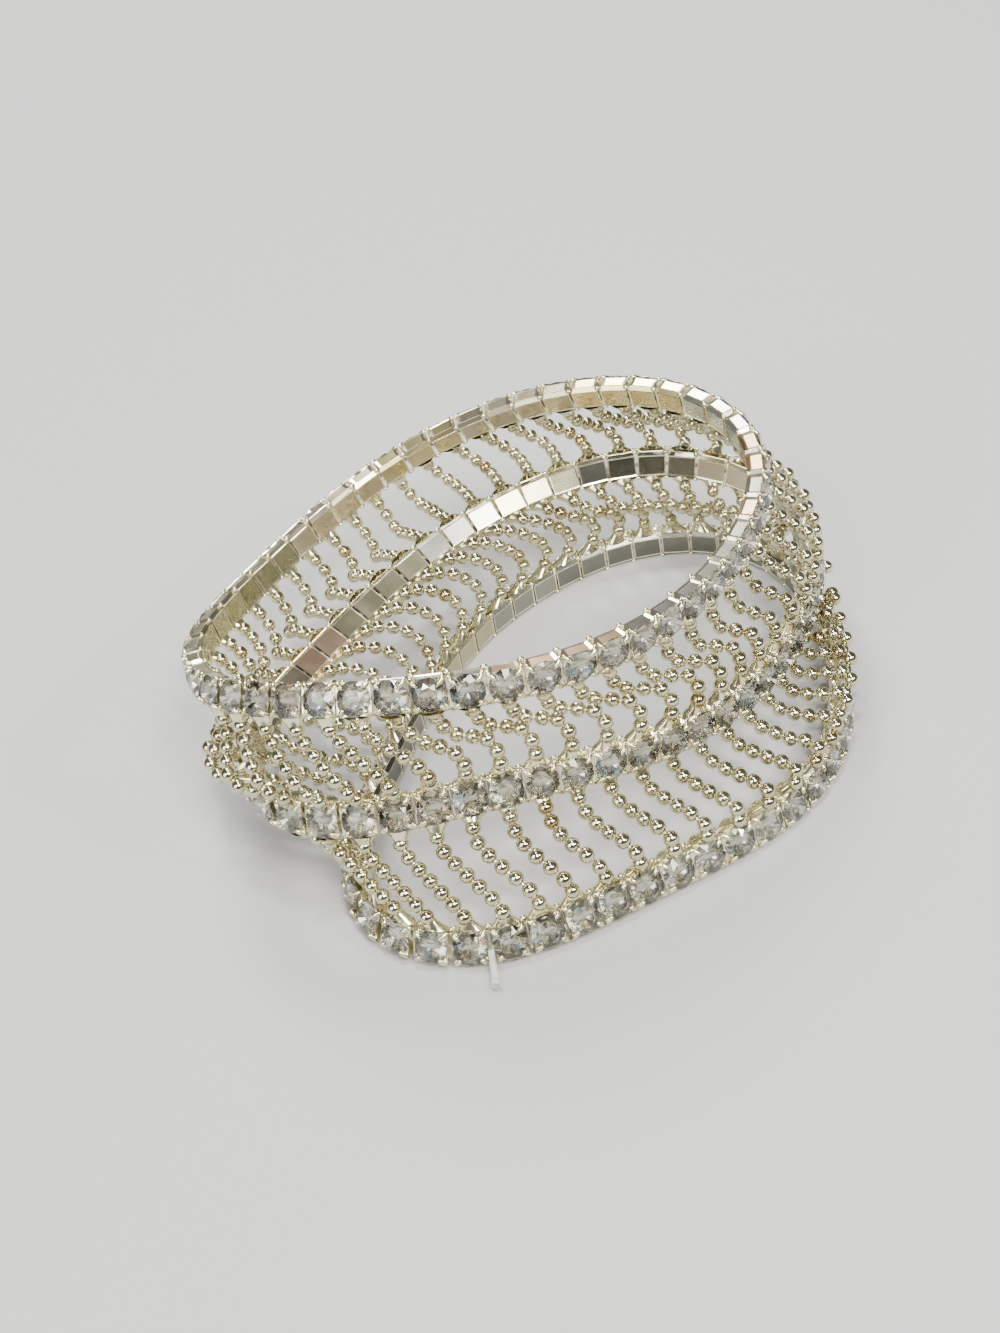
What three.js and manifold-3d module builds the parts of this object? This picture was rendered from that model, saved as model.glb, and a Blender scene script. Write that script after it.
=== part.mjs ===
// Rhinestone stretch bracelet: three elastic rings of square cups, joined cup to cup by
// flexible strands of beaded wire. It lies on its bottom ring and leans over to one side.
// Millimetres, +Z up, origin at the middle of the footprint on the table.

import * as THREE from "three";
import { mergeVertices } from "three/addons/utils/BufferGeometryUtils.js";
import Module from "manifold-3d";

const wasm = await Module();
wasm.setup();

// Cups and stones
const COLUMN_COUNT = 50;
const CUP_PITCH = 3.6;
const CUP_WIDTH = 3.2;
const CUP_HEIGHT = 3.4;
const CUP_DEPTH = 1.9;
const STONE_RISE = 0.6;
const STONE_BASE = 3.0;
const STONE_TABLE = 1.8;
const CHANNEL_SIDE = 1.3;

// Strands and elastic
const STRAND_LENGTH = 13.6;
const STRAND_RADIUS = 0.62;
const STRAND_SIDES = 4;
const STRAND_STEPS = 6;
const STRAND_ROOT = 0.5;
const ELASTIC_RADIUS = 0.28;
const KNOT_COLUMN = 41;
const KNOT_GAP = 0.4;
const ELASTIC_SIDES = 4;
const TAIL_RADIUS = 0.4;
const TAIL_SIDES = 6;
// The tail's places, as [distance outward from the knot, height over the table]
const TAIL_ROUTE = [[2.3, 1.2], [3, 0.6], [4, 0.4], [5.3, 0.4]];

// How finely routes are worked out
const PLAN_STEPS = 8;
const LENGTH_ROUNDS = 24;
const MERGE_DISTANCE = 1e-5;

// Each ring is a closed run of equal cups. Its heading turns once around, and the bends
// [size in degrees, phase in degrees] make it oval (2), egg shaped (3) and squared (4).
// Slope is the rise per millimetre along X and Y, sag the rise and fall twice around, and
// lean the outward tip of the cups, as [column, degrees] pairs joined by a smooth curve. The
// cups of a standing ring each reach down to the floor.
const RINGS = [
    {
        name: "top",
        heading: 44.1,
        bends: [[2, 8.5, -122], [3, 1.5, 115], [4, 4.9, -140]],
        centre: [1.25, 6.45],
        height: 19.8,
        slope: [0.017, -0.137],
        sag: [2.7, -108],
        lean: [[0, 10], [5, 25], [8, 8], [12, -18], [18, -15], [25, -5], [35, 0], [38, -12],
            [42, -40], [45, -35], [48, -5]],
    },
    {
        name: "middle",
        heading: 47.9,
        bends: [[2, 20.1, -138], [3, 2.1, -130], [4, 5.9, 172]],
        centre: [1.05, -0.95],
        height: 10.2,
        slope: [0.01, 0.028],
        sag: [2.2, -132],
        lean: [[0, 50], [5, 60], [11, 50], [15, 30], [20, 10], [25, 0], [32, -5], [37, -12],
            [41, -35], [45, -20], [48, 25]],
    },
    {
        name: "bottom",
        heading: 47.4,
        bends: [[2, 17.8, 180], [3, 8.8, -168], [4, 8.3, 102]],
        centre: [-0.25, -9.15],
        height: CUP_HEIGHT / 2,
        slope: [0, 0],
        sag: [0, 0],
        lean: [[1, 0], [8, 0], [16, 0], [22, 0], [28, -5], [34, -14], [39, -30], [44, -25],
            [47, -16]],
        standing: true,
    },
];

// Where a strand heads as it comes out of the cup above, and out of the cup below, as
// [column, [along, outward], [along, outward]] for each unit straight out of the cup's wall:
// first between the top and the middle ring, then between the middle and the bottom ring.
const STRAND_HEADINGS = [
    [
        [0, [-1, -1.8], [0.5, 1.9]],
        [4, [-0.3, -0.5], [0.2, 0.8]],
        [8, [0, -0.9], [-0.1, 1]],
        [12, [0, 0.4], [0.4, 1.3]],
        [17, [-0.1, -0.5], [0.5, 3.1]],
        [23, [0.2, -0.6], [0, 1.8]],
        [29, [-0.1, -0.1], [0.3, 0.3]],
        [34, [-0.1, -0.3], [-0.1, 0.4]],
        [39, [-0.1, -0.8], [0, 0.8]],
        [43, [0.4, -0.8], [-0.9, 3.8]],
        [46, [0, -0.7], [0, 2]],
    ],
    [
        [0, [-0.8, -0.3], [0.1, 0.4]],
        [4, [0.2, -3.4], [2.7, 0.6]],
        [9, [0.3, -3.6], [3.6, 0.4]],
        [14, [0.3, -1.2], [0.6, 0.3]],
        [19, [0.9, -1.2], [-1.2, 0.3]],
        [22, [0.8, 1.2], [-1.2, -0.3]],
        [25, [1.5, -1.6], [-0.7, 1.6]],
        [30, [0.7, 0.6], [-1.2, 1.5]],
        [35, [0.5, 0], [-0.6, 1.9]],
        [39, [0.4, 0.9], [0, 0.9]],
        [43, [2.6, -2.2], [-1.8, 2.1]],
        [47, [-0.1, -0.7], [0.3, -2.3]],
    ],
];

const silver = new THREE.MeshStandardMaterial({ color: 0xd8cfb8, roughness: 0.2, metalness: 1 });
const cord = new THREE.MeshStandardMaterial({ color: 0xe9e6dc, roughness: 0.8, metalness: 0 });

const radians = THREE.MathUtils.degToRad;

/** Value of a list of [place, number] pairs at a place on a loop, joined by a smooth curve. */
function aroundLoop(pairs, place, loop) {
    if (pairs.length === 1) {
        return pairs[0][1];
    }
    const at = THREE.MathUtils.euclideanModulo(place, loop);
    const count = pairs.length;
    let low = count - 1;
    while (low > 0 && pairs[low][0] > at) {
        low -= 1;
    }
    const pick = (index) => {
        const turn = Math.floor(index / count);
        const pair = pairs[THREE.MathUtils.euclideanModulo(index, count)];
        return [pair[0] + turn * loop, pair[1]];
    };
    const [before, start, end, after] = [low - 1, low, low + 1, low + 2].map(pick);
    const span = end[0] - start[0];
    const share = (at - start[0]) / span;
    const slopeIn = (end[1] - before[1]) / (end[0] - before[0]) * span;
    const slopeOut = (after[1] - start[1]) / (after[0] - start[0]) * span;
    const s2 = share * share;
    const s3 = s2 * share;
    return (2 * s3 - 3 * s2 + 1) * start[1] + (s3 - 2 * s2 + share) * slopeIn
        + (3 * s2 - 2 * s3) * end[1] + (s3 - s2) * slopeOut;
}

/** Plan of a ring: points along the inner edge of the cups, equal steps apart. */
function ringPlan(ring) {
    const steps = COLUMN_COUNT * PLAN_STEPS;
    const stride = CUP_PITCH / PLAN_STEPS;
    const headings = [];
    for (let step = 0; step < steps; step += 1) {
        const around = (step + 0.5) / steps;
        let turned = radians(ring.heading) - 2 * Math.PI * around;
        for (const [waves, size, phase] of ring.bends) {
            turned += radians(size) * Math.cos(2 * Math.PI * waves * around - radians(phase));
        }
        headings.push(new THREE.Vector2(Math.cos(turned), Math.sin(turned)));
    }
    const drift = new THREE.Vector2();
    headings.forEach((heading) => drift.addScaledVector(heading, 1 / steps));
    const points = [new THREE.Vector2()];
    headings.forEach((heading, step) => {
        points.push(points[step].clone().addScaledVector(heading.sub(drift), stride));
    });
    points.pop();
    const middle = new THREE.Vector2();
    points.forEach((point) => middle.addScaledVector(point, 1 / steps));
    return points.map((point) => point.sub(middle));
}

/** A place on a ring's inner edge, at a column number that may be a fraction. */
function ringPoint(ring, plan, column) {
    const at = THREE.MathUtils.euclideanModulo(column, COLUMN_COUNT) * plan.length / COLUMN_COUNT;
    const low = Math.floor(at);
    const flat = plan[low].clone().lerp(plan[(low + 1) % plan.length], at - low);
    const wave = 4 * Math.PI * column / COLUMN_COUNT - radians(ring.sag[1]);
    const rise = flat.x * ring.slope[0] + flat.y * ring.slope[1] + ring.sag[0] * Math.cos(wave);
    return new THREE.Vector3(
        flat.x + ring.centre[0], flat.y + ring.centre[1], ring.height + rise);
}

/** Centre and axes of each cup of a ring: along the ring, outward, and up. */
function cupFrames(ring) {
    const plan = ringPlan(ring);
    const frames = [];
    for (let column = 0; column < COLUMN_COUNT; column += 1) {
        const middle = column + 0.5;
        const start = ringPoint(ring, plan, middle - 0.5);
        const end = ringPoint(ring, plan, middle + 0.5);
        const along = end.clone().sub(start).normalize();
        const flatOut = new THREE.Vector3(-along.y, along.x, 0).normalize();
        const flatUp = along.clone().cross(flatOut);
        const centre = start.add(end).multiplyScalar(0.5).addScaledVector(flatOut, CUP_DEPTH / 2);
        const lean = radians(aroundLoop(ring.lean, middle, COLUMN_COUNT));
        if (ring.standing) {
            centre.z = CUP_HEIGHT / 2 * Math.cos(lean) + CUP_DEPTH / 2 * Math.abs(Math.sin(lean));
        }
        const up = flatUp.clone().multiplyScalar(Math.cos(lean))
            .addScaledVector(flatOut, Math.sin(lean));
        const out = flatOut.clone().multiplyScalar(Math.cos(lean))
            .addScaledVector(flatUp, -Math.sin(lean));
        frames.push({ centre, along, out, up });
    }
    return frames;
}

/** Turns a closed geometry into a solid for cutting and joining. */
function toSolid(geometry) {
    const bare = geometry.clone();
    bare.deleteAttribute("normal");
    bare.deleteAttribute("uv");
    const merged = mergeVertices(bare, MERGE_DISTANCE);
    const positions = merged.getAttribute("position").array;
    const triangles = merged.getIndex().array;
    return new wasm.Manifold(new wasm.Mesh({
        numProp: 3,
        vertProperties: new Float32Array(positions),
        triVerts: new Uint32Array(triangles),
    }));
}

/** Turns a solid back into a geometry. */
function toGeometry(solid) {
    const mesh = solid.getMesh();
    const geometry = new THREE.BufferGeometry();
    geometry.setAttribute("position", new THREE.BufferAttribute(mesh.vertProperties, 3));
    geometry.setIndex(new THREE.BufferAttribute(mesh.triVerts, 1));
    return geometry;
}

/** A cup with its stone, along X, the stone facing +Y, with the elastic's channel through it. */
function cupGeometry() {
    const half = CUP_HEIGHT / 2;
    const back = -CUP_DEPTH / 2;
    const front = CUP_DEPTH / 2;
    const outline = new THREE.Shape([
        new THREE.Vector2(back, -half),
        new THREE.Vector2(front, -half),
        new THREE.Vector2(front, -STONE_BASE / 2),
        new THREE.Vector2(front + STONE_RISE, -STONE_TABLE / 2),
        new THREE.Vector2(front + STONE_RISE, STONE_TABLE / 2),
        new THREE.Vector2(front, STONE_BASE / 2),
        new THREE.Vector2(front, half),
        new THREE.Vector2(back, half),
    ]);
    const side = CHANNEL_SIDE / 2;
    outline.holes.push(new THREE.Path([
        new THREE.Vector2(-side, -side),
        new THREE.Vector2(side, -side),
        new THREE.Vector2(side, side),
        new THREE.Vector2(-side, side),
    ]));
    const cup = new THREE.ExtrudeGeometry(outline, { depth: CUP_WIDTH, bevelEnabled: false });
    cup.translate(0, 0, -CUP_WIDTH / 2);
    const turn = new THREE.Matrix4().makeBasis(
        new THREE.Vector3(0, 1, 0), new THREE.Vector3(0, 0, 1), new THREE.Vector3(1, 0, 0));
    return cup.applyMatrix4(turn);
}

/** Places a geometry made along X, +Y out and +Z up into a cup's frame. */
function placed(geometry, frame) {
    const basis = new THREE.Matrix4().makeBasis(frame.along, frame.out, frame.up);
    basis.setPosition(frame.centre);
    return geometry.clone().applyMatrix4(basis);
}

/** The way a strand heads out of a cup's wall, which lies in the direction given by side. */
function headingOut(cup, side, headings, column) {
    const [along, outward] = [0, 1].map((axis) => aroundLoop(
        headings.map(([place, lean]) => [place, lean[axis]]), column, COLUMN_COUNT));
    return cup.up.clone().multiplyScalar(side)
        .addScaledVector(cup.along, along).addScaledVector(cup.out, outward);
}

/** Route of a strand from the lower wall of one cup to the upper wall of the next one down. */
function strandCurve(upper, lower, headings, column) {
    const start = upper.centre.clone().addScaledVector(upper.up, -CUP_HEIGHT / 2);
    const end = lower.centre.clone().addScaledVector(lower.up, CUP_HEIGHT / 2);
    const leaving = headingOut(
        upper, -1, headings.map(([place, above]) => [place, above]), column);
    const meeting = headingOut(
        lower, 1, headings.map(([place, , below]) => [place, below]), column);
    const curveWith = (pull) => new THREE.CubicBezierCurve3(
        start,
        start.clone().addScaledVector(leaving, pull),
        end.clone().addScaledVector(meeting, pull),
        end);
    let least = 0;
    let most = STRAND_LENGTH;
    for (let round = 0; round < LENGTH_ROUNDS; round += 1) {
        const middle = (least + most) / 2;
        if (curveWith(middle).getLength() < STRAND_LENGTH) {
            least = middle;
        } else {
            most = middle;
        }
    }
    return curveWith(least);
}

/** A route straight from point to point, one step of the extrusion to each point. */
class PointRoute extends THREE.Curve {
    constructor(points) {
        super();
        this.points = points;
    }

    getPoint(share, target = new THREE.Vector3()) {
        const place = share * (this.points.length - 1);
        const low = Math.min(Math.floor(place), this.points.length - 2);
        return target.lerpVectors(this.points[low], this.points[low + 1], place - low);
    }

    getSpacedPoints(steps) {
        return this.getPoints(steps);
    }

    getTangentAt(share, target) {
        return this.getTangent(share, target);
    }

    /** Bisects the corner at a point, so the tube keeps its thickness round a bend. */
    getTangent(share, target = new THREE.Vector3()) {
        const last = this.points.length - 1;
        const index = Math.round(share * last);
        const before = this.points[Math.max(index - 1, 0)];
        const after = this.points[Math.min(index + 1, last)];
        return target.subVectors(after, before).normalize();
    }
}

/** A solid tube through a list of points, with flat ends. */
function tubeGeometry(points, radius, sides) {
    const corners = Array.from({ length: sides }, (_, corner) => {
        const angle = 2 * Math.PI * (corner + 0.5) / sides;
        return new THREE.Vector2(radius * Math.cos(angle), radius * Math.sin(angle));
    });
    return new THREE.ExtrudeGeometry(new THREE.Shape(corners), {
        steps: points.length - 1,
        extrudePath: new PointRoute(points),
        bevelEnabled: false,
    });
}

/** A strand as one tube, with its ends let into the walls of both cups. */
function strandGeometry(upper, lower, headings, column) {
    const route = strandCurve(upper, lower, headings, column).getSpacedPoints(STRAND_STEPS);
    const last = route.length - 1;
    route[0].addScaledVector(upper.up, STRAND_ROOT);
    route[last].addScaledVector(lower.up, -STRAND_ROOT);
    return tubeGeometry(route, STRAND_RADIUS, STRAND_SIDES);
}

/** One column: three cups with stones, soldered into one piece by two strands. */
function columnGeometry(frames, column) {
    const cup = cupGeometry();
    let solid = toSolid(placed(cup, frames[0][column]));
    for (let tier = 1; tier < frames.length; tier += 1) {
        const upper = frames[tier - 1][column];
        const lower = frames[tier][column];
        solid = solid.add(toSolid(placed(cup, lower)));
        const headings = STRAND_HEADINGS[tier - 1];
        solid = solid.add(toSolid(strandGeometry(upper, lower, headings, column)));
    }
    return toGeometry(solid);
}

/** The elastic of one ring: it runs through every cup, and its knotted ends nearly meet. */
function elasticGeometry(ringFrames) {
    const knot = gapMiddle(ringFrames, KNOT_COLUMN);
    const route = [];
    for (let step = 1; step < COLUMN_COUNT; step += 1) {
        route.push(gapMiddle(ringFrames, KNOT_COLUMN + step));
    }
    const shareOf = (point) => KNOT_GAP / 2 / point.distanceTo(knot);
    route.unshift(knot.clone().lerp(route[0], shareOf(route[0])));
    const last = route[route.length - 1];
    route.push(knot.clone().lerp(last, shareOf(last)));
    return tubeGeometry(route, ELASTIC_RADIUS, ELASTIC_SIDES);
}

/** The middle of the gap before a cup, on the line of the elastic. */
function gapMiddle(ringFrames, column) {
    const before = ringFrames[(column - 1) % COLUMN_COUNT];
    const after = ringFrames[column % COLUMN_COUNT];
    const leaving = before.centre.clone().addScaledVector(before.along, CUP_WIDTH / 2);
    const entering = after.centre.clone().addScaledVector(after.along, -CUP_WIDTH / 2);
    return leaving.add(entering).multiplyScalar(0.5);
}

/** The frayed end of the bottom elastic: out of the gap at the knot and along the table. */
function tailGeometry(ringFrames) {
    const cup = ringFrames[KNOT_COLUMN];
    const knot = gapMiddle(ringFrames, KNOT_COLUMN);
    const route = TAIL_ROUTE.map(([outward, height]) => new THREE.Vector3(0, 0, height - knot.z)
        .add(knot).addScaledVector(cup.out, outward));
    return tubeGeometry(route, TAIL_RADIUS, TAIL_SIDES);
}

function named(name, geometry, material) {
    const mesh = new THREE.Mesh(geometry, material);
    mesh.name = name;
    return mesh;
}

const bracelet = new THREE.Group();
const frames = RINGS.map(cupFrames);
for (let column = 0; column < COLUMN_COUNT; column += 1) {
    const name = `column_${String(column + 1).padStart(2, "0")}`;
    bracelet.add(named(name, columnGeometry(frames, column), silver));
}
RINGS.forEach((ring, index) => {
    bracelet.add(named(`elastic_${ring.name}`, elasticGeometry(frames[index]), cord));
});
bracelet.add(named("elastic_tail", tailGeometry(frames[2]), cord));

export default bracelet;
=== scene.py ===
"""Looks of a rhinestone stretch bracelet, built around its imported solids.

Three rings of square cups, each cup with four claws over a faceted stone, are threaded on
white elastic. Strands of seven polished balls hang between the rings. Every place is read
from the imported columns, so the pieces lie exactly where the solids do.
"""

import logging
import math
import random
from dataclasses import dataclass, field
from enum import Enum, IntEnum

import bmesh
import bpy
from mathutils import Matrix, Vector


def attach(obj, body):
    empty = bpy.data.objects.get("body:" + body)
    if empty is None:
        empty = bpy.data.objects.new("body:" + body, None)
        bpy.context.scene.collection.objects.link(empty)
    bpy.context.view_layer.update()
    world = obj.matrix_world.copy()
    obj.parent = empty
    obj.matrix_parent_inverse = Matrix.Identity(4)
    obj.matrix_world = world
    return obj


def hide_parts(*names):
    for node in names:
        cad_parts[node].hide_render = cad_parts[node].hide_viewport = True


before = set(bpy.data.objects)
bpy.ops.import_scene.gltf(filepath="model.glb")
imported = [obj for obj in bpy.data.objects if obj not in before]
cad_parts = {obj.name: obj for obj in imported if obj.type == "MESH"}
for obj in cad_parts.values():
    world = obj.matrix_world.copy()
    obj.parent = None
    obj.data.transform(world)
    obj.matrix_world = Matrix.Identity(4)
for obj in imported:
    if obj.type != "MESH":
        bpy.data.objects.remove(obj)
log = logging.getLogger("bracelet")

MM = 0.001
NEAR = 0.01 * MM  # Points closer than this are in one place.

Triple = tuple[float, float, float]  # Red, green and blue, or X, Y and Z.


class Ring(Enum):
    """The three rings of cups, from the top down."""

    TOP = 0
    MIDDLE = 1
    BOTTOM = 2


# --- Finishes ---------------------------------------------------------------------------


def new_material(name: str) -> tuple[bpy.types.Material, bpy.types.Node]:
    """Makes a node material with nothing in it but its shader.

    Args:
        name: The material's name.

    Returns:
        The material and its Principled shader node.
    """
    material = bpy.data.materials.new(name)
    material.use_nodes = True
    shader = material.node_tree.nodes["Principled BSDF"]
    return material, shader


def noise_ramp(
    material: bpy.types.Material,
    scale: float,
    low: tuple[float, float],
    high: tuple[float, float],
    detail: float = 3.0,
) -> bpy.types.NodeSocket:
    """Adds noise in object space, eased from one value to another.

    Args:
        material: The material that gets the nodes.
        scale: How many waves of noise there are to a metre.
        low: The noise level where the change starts, and the value there.
        high: The noise level where the change ends, and the value there.
        detail: How many finer layers the noise has.

    Returns:
        The socket that gives the eased value.
    """
    nodes, links = material.node_tree.nodes, material.node_tree.links
    place = nodes.new("ShaderNodeTexCoord")
    noise = nodes.new("ShaderNodeTexNoise")
    noise.inputs["Scale"].default_value = scale
    noise.inputs["Detail"].default_value = detail
    ease = nodes.new("ShaderNodeMapRange")
    ease.interpolation_type = "SMOOTHSTEP"
    ease.inputs["From Min"].default_value = low[0]
    ease.inputs["From Max"].default_value = high[0]
    ease.inputs["To Min"].default_value = low[1]
    ease.inputs["To Max"].default_value = high[1]
    links.new(place.outputs["Object"], noise.inputs["Vector"])
    links.new(noise.outputs["Fac"], ease.inputs["Value"])
    return ease.outputs["Result"]


def mix_colours(
    material: bpy.types.Material,
    share: bpy.types.NodeSocket | float,
    first: bpy.types.NodeSocket | Triple,
    second: bpy.types.NodeSocket | Triple,
    blend: str = "MIX",
) -> bpy.types.NodeSocket:
    """Mixes two colours.

    Args:
        material: The material that gets the nodes.
        share: How much of the second colour there is, as a socket or a number.
        first: The first colour, as a socket or red, green and blue.
        second: The second colour, as a socket or red, green and blue.
        blend: How the second colour is laid on the first.

    Returns:
        The socket that gives the mixed colour.
    """
    nodes, links = material.node_tree.nodes, material.node_tree.links
    mix = nodes.new("ShaderNodeMix")
    mix.data_type = "RGBA"
    mix.blend_type = blend
    for socket, value in ((mix.inputs[0], share), (mix.inputs[6], first), (mix.inputs[7], second)):
        if isinstance(value, bpy.types.NodeSocket):
            links.new(value, socket)
        elif isinstance(value, tuple):
            socket.default_value = (*value, 1.0)
        else:
            socket.default_value = value
    return mix.outputs[2]


def tone_colour(material: bpy.types.Material) -> bpy.types.NodeSocket:
    """The socket that gives the colour stored with each face: a tone, or a facet's painted flash of
    light or dark.
    """
    tone = material.node_tree.nodes.new("ShaderNodeAttribute")
    tone.attribute_name = "tone"
    return tone.outputs["Color"]


def add_bump(
    material: bpy.types.Material,
    shader: bpy.types.Node,
    height: bpy.types.NodeSocket,
    distance: float,
    strength: float,
) -> None:
    """Bumps a shader's surface.

    Args:
        material: The material that gets the node.
        shader: The shader whose normal is bumped.
        height: The socket that gives the height.
        distance: How high a full step is, in metres.
        strength: How strongly the bump shows.
    """
    bump = material.node_tree.nodes.new("ShaderNodeBump")
    bump.inputs["Distance"].default_value = distance
    bump.inputs["Strength"].default_value = strength
    material.node_tree.links.new(height, bump.inputs["Height"])
    material.node_tree.links.new(bump.outputs["Normal"], shader.inputs["Normal"])


@dataclass(frozen=True)
class PlatedMetal:
    """Polished plating, a little worn and clouded, with an optional tone of each cup's own."""

    name: str
    bright: Triple
    worn: Triple
    smooth: float = 0.08
    rough: float = 0.2
    wear_scale: float = 260.0
    cloud_share: float = 1.7
    toned: bool = False

    def build(self) -> bpy.types.Material:
        """Makes the material."""
        material, shader = new_material(self.name)
        links = material.node_tree.links
        shader.inputs["Metallic"].default_value = 1.0
        wear = noise_ramp(material, self.wear_scale, low=(0.42, 0.0), high=(0.68, 1.0))
        colour = mix_colours(material, wear, self.bright, self.worn)
        if self.toned:
            colour = mix_colours(material, 1.0, colour, tone_colour(material), "MULTIPLY")
        links.new(colour, shader.inputs["Base Color"])
        cloud = noise_ramp(
            material, self.wear_scale * self.cloud_share,
            low=(0.35, self.smooth), high=(0.7, self.rough))
        links.new(cloud, shader.inputs["Roughness"])
        return material


@dataclass(frozen=True)
class CutGlass:
    """Clear cut glass with a breath of warmth."""

    name: str = "clear_cut_glass"
    colour: Triple = (1.0, 0.992, 0.96)
    bending: float = 1.6

    def build(self) -> bpy.types.Material:
        """Makes the material."""
        material, shader = new_material(self.name)
        shader.inputs["Base Color"].default_value = (*self.colour, 1.0)
        shader.inputs["Transmission Weight"].default_value = 1.0
        shader.inputs["IOR"].default_value = self.bending
        shader.inputs["Roughness"].default_value = 0.0
        return material


@dataclass(frozen=True)
class StoneFoil:
    """The mirror foil on a stone's back, with each facet's painted flash of light or dark laid on
    its colour.
    """

    name: str = "stone_foil"
    clear: Triple = (0.98, 0.98, 0.97)
    dim: Triple = (0.76, 0.75, 0.71)

    def build(self) -> bpy.types.Material:
        """Makes the material."""
        material, shader = new_material(self.name)
        shader.inputs["Metallic"].default_value = 1.0
        shader.inputs["Roughness"].default_value = 0.17
        age = noise_ramp(material, scale=420.0, low=(0.42, 0.0), high=(0.66, 1.0), detail=1.0)
        colour = mix_colours(material, age, self.clear, self.dim)
        # Multiplies in each facet's painted flash: a light, dark or coloured reflection painted
        # into the colour.
        colour = mix_colours(material, 1.0, colour, tone_colour(material), "MULTIPLY")
        material.node_tree.links.new(colour, shader.inputs["Base Color"])
        return material


@dataclass(frozen=True)
class ElasticThread:
    """White stretch thread, with fine fibres along it and grime where it is worn."""

    name: str = "elastic_thread"
    clean: Triple = (0.56, 0.56, 0.49)
    grimy: Triple = (0.36, 0.29, 0.19)

    def build(self) -> bpy.types.Material:
        """Makes the material."""
        material, shader = new_material(self.name)
        links = material.node_tree.links
        shader.inputs["Roughness"].default_value = 0.75
        shader.inputs["Sheen Weight"].default_value = 0.4
        grime = noise_ramp(material, scale=600.0, low=(0.45, 0.0), high=(0.75, 0.7))
        links.new(mix_colours(material, grime, self.clean, self.grimy), shader.inputs["Base Color"])
        fibre = noise_ramp(material, scale=5200.0, low=(0.3, 0.0), high=(0.7, 1.0), detail=2.0)
        add_bump(material, shader, fibre, distance=0.03 * MM, strength=0.7)
        return material


@dataclass(frozen=True)
class PalePaper:
    """Plain pale studio paper."""

    name: str = "pale_paper"
    colour: Triple = (0.47, 0.47, 0.465)

    def build(self) -> bpy.types.Material:
        """Makes the material."""
        material, shader = new_material(self.name)
        shader.inputs["Base Color"].default_value = (*self.colour, 1.0)
        shader.inputs["Roughness"].default_value = 0.85
        return material


@dataclass
class FinishBook:
    """Every finish of the bracelet, each made once."""

    cup: bpy.types.Material = field(init=False)
    lip: bpy.types.Material = field(init=False)
    plate: bpy.types.Material = field(init=False)
    ball: bpy.types.Material = field(init=False)
    glass: bpy.types.Material = field(init=False)
    foil: bpy.types.Material = field(init=False)
    thread: bpy.types.Material = field(init=False)

    def __post_init__(self) -> None:
        """Makes the materials."""
        self.cup = PlatedMetal(
            "claw_cream", (0.89, 0.85, 0.61), (0.76, 0.69, 0.42), smooth=0.14, rough=0.26).build()
        self.lip = PlatedMetal(
            "lip_gold", (0.93, 0.87, 0.67), (0.78, 0.7, 0.48), smooth=0.16, rough=0.26).build()
        self.plate = PlatedMetal(
            "plate_toned", (0.94, 0.94, 0.93), (0.88, 0.87, 0.83), smooth=0.24, rough=0.28,
            wear_scale=150.0, toned=True).build()
        self.ball = PlatedMetal(
            "ball_silver", (0.68, 0.64, 0.45), (0.56, 0.51, 0.33), smooth=0.06, rough=0.14,
            toned=True).build()
        self.glass = CutGlass().build()
        self.foil = StoneFoil().build()
        self.thread = ElasticThread().build()


# --- Places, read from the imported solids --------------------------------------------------


@dataclass(frozen=True)
class CupPlace:
    """Where one cup is: its centre, and its axes along the ring, outward and up."""

    centre: Vector
    along: Vector
    out: Vector
    up: Vector

    def matrix(self) -> Matrix:
        """The turn and shift that put a cup made at the origin here."""
        turn = Matrix((self.along, self.out, self.up)).transposed().to_4x4()
        return Matrix.Translation(self.centre) @ turn

    def wall(self, up: float) -> Vector:
        """The middle of the cup, moved up by a distance in metres."""
        return self.centre + self.up * up


@dataclass(frozen=True)
class Column:
    """One packed column: its three cups, and the routes of its two strands."""

    cups: list[CupPlace]
    routes: list[list[Vector]]


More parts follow.
